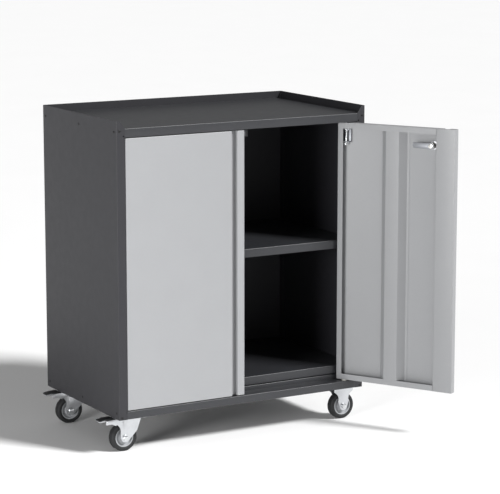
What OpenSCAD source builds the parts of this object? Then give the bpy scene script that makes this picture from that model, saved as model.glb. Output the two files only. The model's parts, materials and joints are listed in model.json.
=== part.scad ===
// Two-door steel tool cabinet on four castors.
// Millimetres. +Z is up, the doors face -Y. The model stands with its wheels on z = 0,
// and its origin is under the middle of the box it fills with the right door open.

/* [Cabinet] */
// Outer width of the cabinet body
cab_w = 800; // [760:1:900]
// Outer depth of the cabinet body
cab_d = 474; // [440:1:560]
// Height of the body, from the base's lower edge to the rim
cab_h = 834; // [780:1:900]
// Sheet thickness
sheet = 1; // [0.8:0.1:1.2]
// Width of the side panels' front flanges
flange_w = 25.5; // [24:0.5:30]
// Height of the rim above the worktop
rim_h = 21.5; // [15:0.5:40]
// Height of the worktop's front band
band_h = 25; // [22:0.5:35]
// Height of the base's front rail
rail_h = 23; // [20:0.5:35]
// Distance of the shelf fronts behind the front plane
setback = 46; // [46:1:60]

/* [Shelves] */
// Height of the folded shelf edges
shelf_lip = 25; // [20:1:40]
// Top of the middle shelf above the base's lower edge
shelf_z = 437.5; // [300:0.5:600]
// Height of the riser under the bottom shelf
riser_h = 13; // [10:1:20]

/* [Doors] */
// Thickness of a door
door_t = 20; // [18:0.5:20]
// Gap beside and between the doors
side_gap = 1.5; // [1:0.1:2]
// Gap above and below a door
end_gap = 2.2; // [2:0.1:3]
// Distance of the pivot axis from the door's hinge edge
pivot_in = 25.5; // [25:0.5:27]
// Distance of the pivot axis behind the front plane
pivot_y = 15; // [14:0.5:15]
// Width of the finger groove
groove_w = 17; // [14:1:20]
// Distance of the finger groove from the free edge
groove_in = 23; // [20:1:26]
// Depth of the finger groove
groove_d = 13; // [10:1:15]
// Angle at which the right door stands open
open_angle = 120; // [0:1:120]

/* [Castors] */
// Overall height of a castor
castor_h = 106; // [104:1:110]
// Wheel radius
wheel_r = 40; // [38:1:40]
// Tyre width
tyre_w = 28; // [22:1:28]
// Distance from a swivel axis to its wheel axle
trail = 29; // [25:1:32]
// Swivel axis, distance from the left side
swivel_x = 72; // [68:1:80]
// Rigid wheel axle, distance from the left side
rigid_x = 767; // [760:1:767]
// Front wheels, distance behind the front plane
wheel_y = 68; // [62:1:75]
// Distance between front and rear wheels
wheel_base = 355; // [300:1:355]

/* [Hidden] */
$fn = 64;
fit = 0.05;
eps = 0.2;
plate_t = 3;
worktop_z = cab_h - rim_h;
band_z = worktop_z - band_h;
return_d = 22;
inner_x = sheet + eps;
deck_z = rail_h + riser_h;
front_x = flange_w + eps;

door_x = flange_w + side_gap;
door_w = cab_w / 2 - 0.5 - door_x;
door_z = rail_h + end_gap;
door_h = band_z - end_gap + 0.2 - door_z;
door_top = door_z + door_h;
lip = 17;
groove_s = door_w - groove_in - groove_w;
box_s = door_w - 60.5;
bolt_r = 3;
pin_r = 4;
bracket_z = door_top - 56.5;
bracket_h = 39;
lock_s = 298;
lock_z = door_top - 50.5;
lock_r = 9.5;
plug_r = 7;
cam_d = return_d + 0.6;
cam_t = 2.4;
cam_l = 57;
slide_s = 333;

axle_z = wheel_r - castor_h;
swivel_axle_x = swivel_x - trail;
crown_z = -12;
leg_t = 2.5;
gap_in = 31;
axle_r = 6;
king_r = 6;
plate_w = 64;
plate_l = 96;
hole_x = 42;
hole_y = 72;
hole_r = 4.25;
pedal_tip = -34;
wheel_ys = [wheel_y, wheel_y + wheel_base];

screw_r = 2;
top_row = worktop_z - 9.5;
low_row = 17.5;
side_ys = [16, cab_d / 2, cab_d - 16];

// The right door's free corners, from its pivot, where it stands open
swing_l = door_w - pivot_in;
reach_x = cab_w - door_x - pivot_in - swing_l * cos(open_angle) + pivot_y * sin(open_angle);
reach_y = pivot_y - swing_l * sin(open_angle) + (door_t - pivot_y) * cos(open_angle);
origin_x = (reach_x + pedal_tip) / 2;
origin_y = (reach_y + cab_d) / 2;

steel = "#57595c";
steel_side = "#4f5053";
door_grey = "#bfc0c2";
door_inside = "#b0b3b4";
zinc = "#c0c2c5";
hub_grey = "#8f9194";
rubber = "#2a2c2f";
black = "#1c1d1f";

// ---------- placing ----------

// Puts a piece drawn from the body's lower front left corner into the part's frame
module cabinet() {
    translate([-origin_x, -origin_y, castor_h]) children();
}

// Left door: x runs from the hinge edge, y from the door's front face
module on_left_door() {
    cabinet() translate([door_x, 0, 0]) children();
}

// Right door: the left door's mirror image, swung open about its pivot
module on_right_door() {
    pivot = [cab_w - door_x - pivot_in, pivot_y, 0];
    cabinet() translate(pivot) rotate([0, 0, open_angle]) translate(-pivot)
        translate([cab_w - door_x, 0, 0]) mirror([1, 0, 0]) children();
}

// A block between two corners
module block(a, b) {
    translate(a) cube(b - a);
}

// A flat outline in the XZ plane, given thickness from y = y0 to y = y1
module slab_xz(y0, y1) {
    translate([0, y1, 0]) rotate([90, 0, 0]) linear_extrude(y1 - y0) children();
}

// A round rod along Y
module rod_y(x, z, y0, y1, r, fn = 64) {
    translate([x, y1, z]) rotate([90, 0, 0]) cylinder(r = r, h = y1 - y0, $fn = fn);
}

// A round rod along Z
module rod_z(x, y, z0, z1, r, fn = 64) {
    translate([x, y, z0]) cylinder(r = r, h = z1 - z0, $fn = fn);
}

// ---------- cabinet body ----------

// Calls its child at every side screw, turned so that the screw points along +X
module at_side_screws() {
    for (z = [top_row, low_row]) for (y = side_ys) {
        translate([0, y, z]) rotate([0, 90, 0]) children();
        translate([cab_w, y, z]) rotate([0, -90, 0]) children();
    }
}

// Calls its child at every front screw, turned so that the screw points along +Y
module at_front_screws() {
    for (x = [9, cab_w - 9]) for (z = [worktop_z - 6.5, 6.5])
        translate([x, 0, z]) rotate([-90, 0, 0]) children();
}

module screw_holes() {
    at_side_screws() translate([0, 0, -1]) cylinder(r = screw_r + fit, h = 5);
    at_front_screws() translate([0, 0, -1]) cylinder(r = screw_r + fit, h = 5);
}

module screw() {
    translate([0, 0, -1.4]) cylinder(r1 = 3, r2 = 3.8, h = 1.4);
    cylinder(r = screw_r, h = 2.5);
}

// Front flange, cut to a slope beside the rim
module front_flange() {
    slab_xz(0, sheet) polygon([
        [0, 0], [flange_w, 0], [flange_w, worktop_z], [10, cab_h], [0, cab_h]
    ]);
}

module side_sheet() {
    difference() {
        union() {
            block([0, 0, 0], [sheet, cab_d, cab_h]);
            front_flange();
        }
        screw_holes();
    }
}

module side_panel_left() {
    color(steel_side) cabinet() side_sheet();
}

module side_panel_right() {
    color(steel_side) cabinet() translate([cab_w, 0, 0]) mirror([1, 0, 0]) side_sheet();
}

module back_panel() {
    flange_z = [40, worktop_z - 28];
    color(steel_side) cabinet() {
        block([inner_x, cab_d - sheet, 0], [cab_w - inner_x, cab_d, cab_h]);
        for (x = [inner_x, cab_w - inner_x - sheet])
            block([x, cab_d - 22, flange_z[0]], [x + sheet, cab_d - sheet / 2, flange_z[1]]);
    }
}

module worktop() {
    top = worktop_z;
    y0 = sheet + eps;
    y1 = cab_d - sheet - eps;
    color(steel) cabinet() difference() {
        union() {
            block([inner_x, y0, top - sheet], [cab_w - inner_x, y1, top]);
            block([front_x, 0, top - sheet], [cab_w - front_x, y0 + 1, top]);
            block([front_x, 0, band_z], [cab_w - front_x, sheet, top]);
            block([front_x, 0, band_z], [cab_w - front_x, return_d, band_z + sheet]);
            block([inner_x, y0, top - 20], [inner_x + sheet, y1, top]);
            block([cab_w - inner_x - sheet, y0, top - 20], [cab_w - inner_x, y1, top]);
            block([inner_x, y1 - sheet, top - 20], [cab_w - inner_x, y1, top]);
            for (x = [inner_x, cab_w - front_x]) block([x, y0, top - 20],
                [x + front_x - inner_x, y0 + sheet, top]);
        }
        screw_holes();
        for (x = [door_x + pivot_in, cab_w - door_x - pivot_in])
            rod_z(x, pivot_y, band_z - 1, band_z + 2, 4.5 + fit);
    }
}

// Channel under the worktop that stops it from bowing
module worktop_brace() {
    y = cab_d / 2;
    top = worktop_z - sheet;
    color(steel) cabinet() {
        block([3, y - 20, top - 16], [cab_w - 3, y + 20, top - 16 + sheet]);
        for (dy = [-20, 20 - sheet])
            block([3, y + dy, top - 16], [cab_w - 3, y + dy + sheet, top]);
    }
}

// Front rail of the base: bottom return, front face, ledge and end walls
module base_rail() {
    y0 = sheet + eps;
    y1 = setback - fit;
    color(steel) cabinet() difference() {
        union() {
            block([front_x, 0, 0], [cab_w - front_x, sheet, rail_h]);
            block([front_x, 0, 0], [cab_w - front_x, 20, sheet]);
            block([front_x, 0, rail_h - sheet], [cab_w - front_x, y0 + 1, rail_h]);
            block([inner_x, y0, rail_h - sheet], [cab_w - inner_x, y1, rail_h]);
            for (x = [inner_x, cab_w - inner_x - sheet])
                block([x, y0, sheet], [x + sheet, y1, rail_h]);
            for (x = [inner_x, cab_w - front_x])
                block([x, y0, 2 * sheet], [x + front_x - inner_x, y0 + sheet, rail_h]);
        }
        screw_holes();
        for (x = [door_x + pivot_in, cab_w - door_x - pivot_in])
            rod_z(x, pivot_y, rail_h - 3, rail_h + 1, 5.5 + fit);
    }
}

// Deck behind the rail: riser, floor, side walls and rear edge
module base_deck() {
    y1 = cab_d - sheet - eps;
    color(steel) cabinet() difference() {
        union() {
            block([inner_x, setback, rail_h - sheet], [cab_w - inner_x, setback + sheet, deck_z]);
            block([inner_x, setback, deck_z - sheet], [cab_w - inner_x, y1, deck_z]);
            for (x = [inner_x, cab_w - inner_x - sheet])
                block([x, setback, sheet], [x + sheet, y1, deck_z]);
            block([inner_x, y1 - sheet, sheet], [cab_w - inner_x, y1, deck_z]);
        }
        screw_holes();
    }
}

// Channel along one side of the base that carries two castors
module castor_channel(x0, x1, centre_x) {
    web = 1.5;
    rise = deck_z - sheet - eps;
    low = rail_h - sheet - eps;
    y0 = 20.5;
    y1 = cab_d - 3;
    step_y = setback + sheet + eps;
    color(steel) cabinet() {
        difference() {
            block([x0, y0, 0], [x1, y1, web]);
            for (y = wheel_ys) castor_hole_row(centre_x, y, -1, web + 1);
        }
        for (x = [x0, x1 - sheet]) {
            block([x, y0, 0], [x + sheet, step_y + 1, low]);
            block([x, step_y, 0], [x + sheet, y1, rise]);
        }
    }
}

module castor_hole_row(x, y, z0, z1) {
    for (dx = [-hole_x, hole_x] / 2) for (dy = [-hole_y, hole_y] / 2)
        rod_z(x + dx, y + dy, z0, z1, hole_r, 48);
}

module castor_channel_left() {
    castor_channel(swivel_x - 36, swivel_x + 36, swivel_x);
}

module castor_channel_right() {
    castor_channel(rigid_x - 34, rigid_x + 30.2, rigid_x);
}

// A shelf is a tray turned upside down, with a folded return along its front
module shelf(top, side_foot) {
    x0 = inner_x + 1.4;
    x1 = cab_w - x0;
    y1 = cab_d - 4;
    foot = top - shelf_lip;
    color(steel) cabinet() {
        block([x0, setback, top - sheet], [x1, y1, top]);
        block([x0, setback, foot], [x1, setback + sheet, top]);
        block([x0, setback, foot], [x1, setback + 12, foot + sheet]);
        block([x0, y1 - sheet, side_foot], [x1, y1, top]);
        for (x = [x0, x1 - sheet]) block([x, setback + 13, side_foot], [x + sheet, y1, top]);
    }
}

module bottom_shelf() {
    shelf(deck_z + 27, deck_z);
}

module middle_shelf() {
    shelf(shelf_z, shelf_z - shelf_lip);
}

// Angles on the side panels that the middle shelf rests on
module shelf_brackets() {
    top = shelf_z - shelf_lip;
    color(steel) cabinet() for (y = [80, cab_d - 120]) for (side = [0, 1])
        translate([side * cab_w, 0, 0]) mirror([side, 0, 0]) {
            block([sheet, y, top - 18], [sheet + 1.4, y + 40, top]);
            block([sheet, y, top - 1.5], [24, y + 40, top]);
        }
}

module panel_screws() {
    color(black) cabinet() {
        at_side_screws() screw();
        at_front_screws() screw();
    }
}

// Nylon bushes that the door pivots turn in
module pivot_bushes() {
    color("#d8d6cf") cabinet() for (x = [door_x + pivot_in, cab_w - door_x - pivot_in]) {
        difference() {
            union() {
                rod_z(x, pivot_y, band_z, band_z + sheet, 4.5);
                rod_z(x, pivot_y, band_z + sheet, band_z + sheet + 1.5, 6.8);
            }
            rod_z(x, pivot_y, band_z - 1, band_z + 5, bolt_r + fit);
        }
        difference() {
            union() {
                rod_z(x, pivot_y, rail_h - 3.5, rail_h, 5.5);
                rod_z(x, pivot_y, rail_h, door_z - 0.4, 8);
            }
            rod_z(x, pivot_y, rail_h - 5, door_z, pin_r + fit);
        }
    }
}

magnet_x = [-17, 3];
magnet_w = 14;
magnet_z = [band_z - 20, band_z - 6];

// Housing of the magnetic catch, hung on the worktop's return at the middle
module catch_housing() {
    cx = cab_w / 2;
    front = door_t + 0.6;
    color(black) cabinet() difference() {
        union() {
            block([cx - 22, front, band_z - 23], [cx + 22, 38, band_z - eps]);
            block([cx - 22, return_d + eps, band_z - 1], [cx + 22, 38, band_z + sheet + 2.4]);
            block([cx - 22, 6, band_z + sheet + 0.1], [cx + 22, 38, band_z + sheet + 2.4]);
        }
        for (dx = magnet_x) block([cx + dx - 0.1, front - 1, magnet_z[0] - 0.1],
            [cx + dx + magnet_w + 0.1, 34.1, magnet_z[1] + 0.1]);
    }
}

module catch_magnets() {
    cx = cab_w / 2;
    color("#6d6f72") cabinet() for (dx = magnet_x)
        block([cx + dx, door_t + 0.3, magnet_z[0]], [cx + dx + magnet_w, 34, magnet_z[1]]);
}

// ---------- door pieces, drawn as the left door's ----------

// The door's pan: front face, folded edges and inner lips, up to the finger groove
module door_skin(lock_hole) {
    z0 = door_z;
    z1 = door_top;
    d = door_t;
    difference() {
        union() {
            block([0, 0, z0], [groove_s, sheet, z1]);
            block([groove_s - sheet, 0, z0], [groove_s, groove_d - fit, z1]);
            block([0, 0, z0], [sheet, d, z1]);
            for (z = [z0, z1 - sheet]) {
                block([0, 0, z], [groove_s, groove_d - fit, z + sheet]);
                block([0, 0, z], [groove_s - 2 * sheet, d, z + sheet]);
            }
            block([0, d - sheet, z0], [lip, d, z1]);
            for (z = [z0, z1 - lip]) block([0, d - sheet, z], [box_s, d, z + lip]);
        }
        rod_z(pivot_in, pivot_y, z1 - 2, z1 + 1, bolt_r + 0.4);
        rod_z(pivot_in, pivot_y, z0 - 1, z0 + 2, pin_r + fit);
        if (lock_hole) rod_y(lock_s, lock_z, -1, 3, lock_r + fit);
    }
}

// Hat section down the middle of the door
module door_stiffener() {
    flat = [155, 196];
    run = 19;
    foot = 7;
    translate([0, 0, door_z + lip + 0.1]) linear_extrude(door_h - 2 * lip - 0.2) polygon([
        [flat[0] - run - foot, sheet + 0.05], [flat[0] - run, sheet + 0.05],
        [flat[0] + 0.4, door_t - sheet], [flat[1] - 0.4, door_t - sheet],
        [flat[1] + run, sheet + 0.05], [flat[1] + run + foot, sheet + 0.05],
        [flat[1] + run + foot, 2 * sheet], [flat[1] + run, 2 * sheet],
        [flat[1], door_t], [flat[0], door_t],
        [flat[0] - run, 2 * sheet], [flat[0] - run - foot, 2 * sheet]
    ]);
}

// Box section with the finger groove along the free edge
module door_edge_channel() {
    z0 = door_z;
    z1 = door_top;
    g0 = groove_s - sheet;
    g1 = groove_s + groove_w;
    difference() {
        translate([0, 0, z0]) linear_extrude(door_h) polygon([
            [g0, groove_d], [g1, groove_d], [g1, 0], [door_w, 0], [door_w, door_t],
            [g0, door_t]
        ]);
        translate([0, 0, z0 + sheet]) linear_extrude(door_h - 2 * sheet) polygon([
            [g0 - 1, groove_d + sheet], [g1 + sheet, groove_d + sheet], [g1 + sheet, sheet],
            [door_w - sheet, sheet], [door_w - sheet, door_t - sheet], [g0 - 1, door_t - sheet]
        ]);
    }
    block([box_s + 0.1, door_t - sheet, z0 + sheet + 0.05], [g0 + 1, door_t, z1 - sheet - 0.05]);
    block([box_s + 0.1, sheet + 0.05, z0 + lip], [box_s + 1.1, door_t, z1 - lip]);
}

// Bracket that guides the sprung upper pivot bolt
module hinge_bracket() {
    z0 = bracket_z;
    z1 = bracket_z + bracket_h;
    s1 = pivot_in + 11.5;
    difference() {
        union() {
            block([sheet + 0.05, 6, z0], [s1, 7.5, z1]);
            block([sheet + 0.05, 6, z0], [sheet + 1.55, 18, z1]);
            for (z = [z0, z1 - 2]) block([pivot_in - 11.5, 6, z], [s1, 19, z + 2]);
        }
        rod_z(pivot_in, pivot_y, z0 - 1, z1 + 1, bolt_r + fit);
    }
}

bolt_travel = 13;
collar_z = bracket_z + bracket_h - 4.3;

module hinge_bolt() {
    rod_z(pivot_in, pivot_y, bracket_z - 9, band_z + 4, bolt_r);
    rod_z(pivot_in, pivot_y, collar_z, collar_z + 2, 5.2);
    translate([pivot_in, pivot_y, bracket_z - 6]) rotate([-90, 0, 0]) cylinder(r = 2, h = 9);
}

// Coils of the bolt's spring, as a row of rings
module hinge_spring() {
    wire = 0.6;
    first = bracket_z + 2 + wire + 0.1;
    last = collar_z - wire - 0.1;
    coils = 9;
    for (i = [0 : coils - 1])
        translate([pivot_in, pivot_y, first + i * (last - first) / (coils - 1)])
            rotate_extrude() translate([bolt_r + 0.3 + wire, 0]) circle(r = wire, $fn = 24);
}

module pivot_pin() {
    foot = door_z + sheet + 0.05;
    rod_z(pivot_in, pivot_y, rail_h - 5, door_z + sheet + 2, pin_r);
    block([pivot_in - 9, 6, foot], [pivot_in + 9, door_t - sheet - 0.3, foot + 2.5]);
}

// Two straps that guide the left door's slide bolt; its knob rests on the lower one
knob_z = door_top - 49.5;
bar_y = return_d + 0.8;

module bolt_guide() {
    strap_h = 8;
    low = knob_z - 3.3 - strap_h;
    high = knob_z + 3.3 + bolt_travel;
    difference() {
        union() {
            block([slide_s - 11, door_t + 0.05, low - 4],
                [slide_s + 11, door_t + 1.3, high + strap_h + 4]);
            for (z = [low, high])
                block([slide_s - 8, door_t + 0.05, z], [slide_s + 8, bar_y + 5, z + strap_h]);
        }
        block([slide_s - 5.15, bar_y - 0.15, low - 9], [slide_s + 5.15, bar_y + 3.15, door_top]);
    }
}

module slide_bolt() {
    block([slide_s - 5, bar_y, knob_z - 20], [slide_s + 5, bar_y + 3, door_top - 2.5]);
    rod_y(slide_s, knob_z, bar_y + 2, bar_y + 7, 3);
    rod_y(slide_s, knob_z, bar_y + 7, bar_y + 13, 5.5);
}

module left_door_skin() { color(door_grey) on_left_door() door_skin(false); }
module left_door_stiffener() { color(door_inside) on_left_door() door_stiffener(); }
module left_door_edge_channel() { color(door_inside) on_left_door() door_edge_channel(); }
module left_hinge_bracket() { color(zinc) on_left_door() hinge_bracket(); }
module left_hinge_bolt() { color(zinc) on_left_door() hinge_bolt(); }
module left_hinge_spring() { color(zinc) on_left_door() hinge_spring(); }
module left_pivot_pin() { color(zinc) on_left_door() pivot_pin(); }
module left_bolt_guide() { color(zinc) on_left_door() bolt_guide(); }
module left_slide_bolt() { color(zinc) on_left_door() slide_bolt(); }

module right_door_skin() { color(door_grey) on_right_door() door_skin(true); }
module right_door_stiffener() { color(door_inside) on_right_door() door_stiffener(); }
module right_door_edge_channel() { color(door_inside) on_right_door() door_edge_channel(); }
module right_hinge_bracket() { color(zinc) on_right_door() hinge_bracket(); }
module right_hinge_bolt() { color(zinc) on_right_door() hinge_bolt(); }
module right_hinge_spring() { color(zinc) on_right_door() hinge_spring(); }
module right_pivot_pin() { color(zinc) on_right_door() pivot_pin(); }

// ---------- lock on the right door ----------

module lock_barrel() {
    color(zinc) on_right_door() difference() {
        union() {
            rod_y(lock_s, lock_z, -2, 0, 11.5);
            rod_y(lock_s, lock_z, 0, return_d, lock_r);
        }
        rod_y(lock_s, lock_z, -3, return_d + 1, plug_r + fit);
    }
}

module lock_nut() {
    color(zinc) on_right_door() difference() {
        rod_y(lock_s, lock_z, sheet, sheet + 4, 12.5, 6);
        rod_y(lock_s, lock_z, 0, 8, lock_r + fit);
    }
}

module lock_plug() {
    color(zinc) on_right_door() difference() {
        union() {
            rod_y(lock_s, lock_z, -1.6, cam_d, plug_r);
            rod_y(lock_s, lock_z, cam_d, cam_d + cam_t, 4);
            rod_y(lock_s, lock_z, cam_d + cam_t, cam_d + cam_t + 3, 6.5);
        }
        block([lock_s - 0.9, -3, lock_z - 4.2], [lock_s + 0.9, 8, lock_z + 4.2]);
    }
}

module lock_cam() {
    half = 9;
    color(zinc) on_right_door() difference() {
        union() {
            block([lock_s - cam_l + 3, cam_d, lock_z - half + 1],
                [lock_s, cam_d + cam_t, lock_z + half - 1]);
            rod_y(lock_s - cam_l + half, lock_z, cam_d, cam_d + cam_t, half - 1);
            rod_y(lock_s, lock_z, cam_d, cam_d + cam_t, half);
        }
        rod_y(lock_s, lock_z, cam_d - 1, cam_d + cam_t + 1, 4 + fit);
    }
}

// ---------- castors ----------

// Cross-section of the tyre: a flat tread with round shoulders
module tyre() {
    half = tyre_w / 2;
    rim = 28;
    shoulder = 7;
    rotate([90, 0, 0]) rotate_extrude($fn = 96) polygon(concat(
        [[rim, -half + 2], [rim + 3, -half]],
        [for (a = [0 : 15 : 90]) [wheel_r - shoulder + shoulder * sin(a),
            -half + shoulder - shoulder * cos(a)]],
        [for (a = [90 : -15 : 0]) [wheel_r - shoulder + shoulder * sin(a),
            half - shoulder + shoulder * cos(a)]],
        [[rim + 3, half], [rim, half - 2]]
    ));
}

// Moulded wheel centre: rim, dished web and boss
module hub() {
    half = tyre_w / 2;
    boss = gap_in / 2 - 0.4;
    rotate([90, 0, 0]) rotate_extrude($fn = 96) polygon([
        [axle_r + fit, -boss], [11, -boss], [13, -6], [22, -5], [24, -half + 2.5],
        [27.9, -half + 2.5], [27.9, half - 2.5], [24, half - 2.5], [22, 5], [13, 6],
        [11, boss], [axle_r + fit, boss]
    ]);
}

module axle_bolt() {
    outer = gap_in / 2 + leg_t;
    rotate([90, 0, 0]) {
        cylinder(r = axle_r, h = 2 * outer, center = true);
        translate([0, 0, outer]) cylinder(r = 8.5, h = 1.2);
        translate([0, 0, outer + 1.2]) cylinder(r = 8, h = 4.5, $fn = 6);
        translate([0, 0, -outer - 6]) cylinder(r = 8, h = 6, $fn = 6);
    }
}

// Outline of one leg of the swivel fork, with x and z from the swivel axis
module swivel_leg_outline() {
    a = [-trail, axle_z];
    arch_r = 24;
    arch = [-43.5 - arch_r, axle_z + 20];
    difference() {
        polygon([
            [20, crown_z - 3], [8, -48], [a[0] + 11, axle_z - 8], [a[0] - 14.5, axle_z],
            [a[0] - 60, axle_z + 30], [-88, crown_z - 2], [-86, crown_z + 1.5],
            [-64, crown_z + 2.6], [-30, crown_z + 1], [-26, crown_z - 3]
        ]);
        translate(arch) circle(r = arch_r);
        translate([-150, -150]) square([150 + arch[0] + arch_r, 150 + arch[1]]);
        translate([-150, -150]) square([150 + arch[0], 150 + arch[1] + arch_r]);
    }
    translate(a) circle(r = 13);
    translate([a[0] - 14.5, axle_z]) square([12, 26]);
}

module swivel_fork() {
    wide = gap_in / 2 + leg_t;
    difference() {
        union() {
            for (y = [-wide, wide - leg_t]) slab_xz(y, y + leg_t) swivel_leg_outline();
            block([-26, -wide, crown_z - 3], [20, wide, crown_z]);
            translate([0, 0, crown_z - 3]) cylinder(r = 24, h = 3);
            translate([0, 0, crown_z - 0.5]) cylinder(r = 27, h = 3.2);
        }
        translate([0, 0, crown_z - 5]) cylinder(r = king_r + fit, h = 12);
        rod_y(-trail, axle_z, -30, 30, axle_r + fit);
        rod_y(pedal_pivot[0], pedal_pivot[1], -30, 30, pedal_pin_r + fit);
    }
}

pedal_pivot = [-34, -21];
pedal_pin_r = 3;

// Steel brake lever with its pin and shoe, x and z from the swivel axis
module brake_pedal() {
    tip = pedal_tip - swivel_x;
    half = 11;
    slab_xz(-half, half) polygon([
        [-30, -17], [-46, -15.4], [-62, -11], [-92, -9.5], [tip + 1, -12.5],
        [tip + 1, -15], [-92, -12.5], [-66, -14], [-64, -26], [-54, -30], [-50, -24.5],
        [-30, -25]
    ]);
    rod_y(pedal_pivot[0], pedal_pivot[1], -gap_in / 2 - leg_t - 1.5, gap_in / 2 + leg_t + 1.5,
        pedal_pin_r);
}

// Plastic cover on the brake lever
module pedal_tread() {
    tip = pedal_tip - swivel_x;
    half = 13;
    slab_xz(-half, half) polygon([
        [-62, -7], [-66, -5.2], [-88, -5.6], [tip, -9.5], [tip, -12.2], [-92, -9.2],
        [-66, -10.6], [-62, -10.8]
    ]);
}

module castor_plate_blank() {
    difference() {
        block([-plate_w / 2, -plate_l / 2, -plate_t], [plate_w / 2, plate_l / 2, 0]);
        castor_hole_row(0, 0, -plate_t - 1, 1);
    }
}

module swivel_plate() {
    difference() {
        union() {
            castor_plate_blank();
            translate([0, 0, crown_z + 3]) cylinder(r = 24, h = -plate_t - crown_z - 3 + 0.5);
        }
        translate([0, 0, crown_z]) cylinder(r = king_r + fit, h = 14);
    }
}

module kingpin() {
    translate([0, 0, crown_z - 3.3]) cylinder(r = king_r, h = -crown_z + 3.3 - 0.5);
    translate([0, 0, crown_z - 7]) cylinder(r = 9.5, h = 3.7);
}

// Rigid castor: legs pressed down from the plate, flared at the top
module rigid_leg_outline() {
    flare = 22;
    half = 32;
    difference() {
        polygon([
            [-half, -plate_t], [-half, -22], [-half + 4, -25], [-12, axle_z - 4],
            [12, axle_z - 4], [half - 4, -25], [half, -22], [half, -plate_t]
        ]);
        for (s = [-1, 1]) translate([s * (half + 7), -44]) circle(r = flare);
    }
    translate([0, axle_z]) circle(r = 13);
}

module rigid_bracket() {
    wide = gap_in / 2 + leg_t;
    difference() {
        union() {
            castor_plate_blank();
            for (y = [-wide, wide - leg_t]) slab_xz(y, y + leg_t) rigid_leg_outline();
        }
        rod_y(0, axle_z, -30, 30, axle_r + fit);
    }
}

module at_swivel(i) {
    cabinet() translate([swivel_x, wheel_ys[i], 0]) children();
}

module at_swivel_wheel(i) {
    at_swivel(i) translate([-trail, 0, axle_z]) children();
}

module at_rigid(i) {
    cabinet() translate([rigid_x, wheel_ys[i], 0]) children();
}

module at_rigid_wheel(i) {
    at_rigid(i) translate([0, 0, axle_z]) children();
}

module front_swivel_plate() { color(zinc) at_swivel(0) swivel_plate(); }
module front_swivel_fork() { color(zinc) at_swivel(0) swivel_fork(); }
module front_swivel_axle() { color(zinc) at_swivel_wheel(0) axle_bolt(); }
module front_swivel_hub() { color(hub_grey) at_swivel_wheel(0) hub(); }
module front_swivel_tyre() { color(rubber) at_swivel_wheel(0) tyre(); }
module front_brake_pedal() { color(zinc) at_swivel(0) brake_pedal(); }
module front_pedal_tread() { color(black) at_swivel(0) pedal_tread(); }
module rear_swivel_plate() { color(zinc) at_swivel(1) swivel_plate(); }
module rear_swivel_fork() { color(zinc) at_swivel(1) swivel_fork(); }
module rear_swivel_axle() { color(zinc) at_swivel_wheel(1) axle_bolt(); }
module rear_swivel_hub() { color(hub_grey) at_swivel_wheel(1) hub(); }
module rear_swivel_tyre() { color(rubber) at_swivel_wheel(1) tyre(); }
module rear_brake_pedal() { color(zinc) at_swivel(1) brake_pedal(); }
module rear_pedal_tread() { color(black) at_swivel(1) pedal_tread(); }
module kingpins() { color(zinc) for (i = [0, 1]) at_swivel(i) kingpin(); }
module front_rigid_bracket() { color(zinc) at_rigid(0) rigid_bracket(); }
module front_rigid_hub() { color(hub_grey) at_rigid_wheel(0) hub(); }
module front_rigid_tyre() { color(rubber) at_rigid_wheel(0) tyre(); }
module rear_rigid_bracket() { color(zinc) at_rigid(1) rigid_bracket(); }
module rear_rigid_hub() { color(hub_grey) at_rigid_wheel(1) hub(); }
module rear_rigid_tyre() { color(rubber) at_rigid_wheel(1) tyre(); }
module rigid_axles() { color(zinc) for (i = [0, 1]) at_rigid_wheel(i) axle_bolt(); }

// Calls its child at every castor bolt
module at_castor_bolts() {
    for (i = [0, 1]) for (dx = [-hole_x, hole_x] / 2) for (dy = [-hole_y, hole_y] / 2) {
        at_swivel(i) translate([dx, dy, 0]) children();
        at_rigid(i) translate([dx, dy, 0]) children();
    }
}

module castor_bolts() {
    color(zinc) at_castor_bolts() {
        translate([0, 0, -plate_t - 5]) cylinder(r = 7, h = 5, $fn = 6);
        translate([0, 0, -plate_t]) cylinder(r = 4, h = 12);
    }
}

module castor_nuts() {
    color(zinc) at_castor_bolts() difference() {
        translate([0, 0, 1.5]) cylinder(r = 7, h = 6, $fn = 6);
        cylinder(r = 4 + fit, h = 9);
    }
}

// ---------- drawing ----------

side_panel_left();
side_panel_right();
back_panel();
worktop();
worktop_brace();
base_rail();
base_deck();
castor_channel_left();
castor_channel_right();
bottom_shelf();
middle_shelf();
shelf_brackets();
panel_screws();
pivot_bushes();
catch_housing();
catch_magnets();
castor_bolts();
castor_nuts();
left_door_skin();
left_door_stiffener();
left_door_edge_channel();
left_hinge_bracket();
left_hinge_bolt();
left_hinge_spring();
left_pivot_pin();
left_bolt_guide();
left_slide_bolt();
right_door_skin();
right_door_stiffener();
right_door_edge_channel();
right_hinge_bracket();
right_hinge_bolt();
right_hinge_spring();
right_pivot_pin();
lock_barrel();
lock_nut();
lock_plug();
lock_cam();
front_swivel_plate();
front_swivel_fork();
front_swivel_axle();
front_swivel_hub();
front_swivel_tyre();
front_brake_pedal();
front_pedal_tread();
rear_swivel_plate();
rear_swivel_fork();
rear_swivel_axle();
rear_swivel_hub();
rear_swivel_tyre();
rear_brake_pedal();
rear_pedal_tread();
kingpins();
front_rigid_bracket();
front_rigid_hub();
front_rigid_tyre();
rear_rigid_bracket();
rear_rigid_hub();
rear_rigid_tyre();
rigid_axles();
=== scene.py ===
"""Two-door steel tool cabinet on four castors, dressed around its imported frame.

Sub-assemblies are drawn in millimetres in their own axes: the cabinet from its lower front
left corner, a door from its hinge edge, a castor from its swivel axis. A placement matrix
turns each one into the shared frame in metres.
"""

import json
import logging
import math
from collections.abc import Callable, Iterable, Sequence
from dataclasses import dataclass, field
from enum import Enum

import bmesh
import bpy
from mathutils import Matrix, Vector

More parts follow.
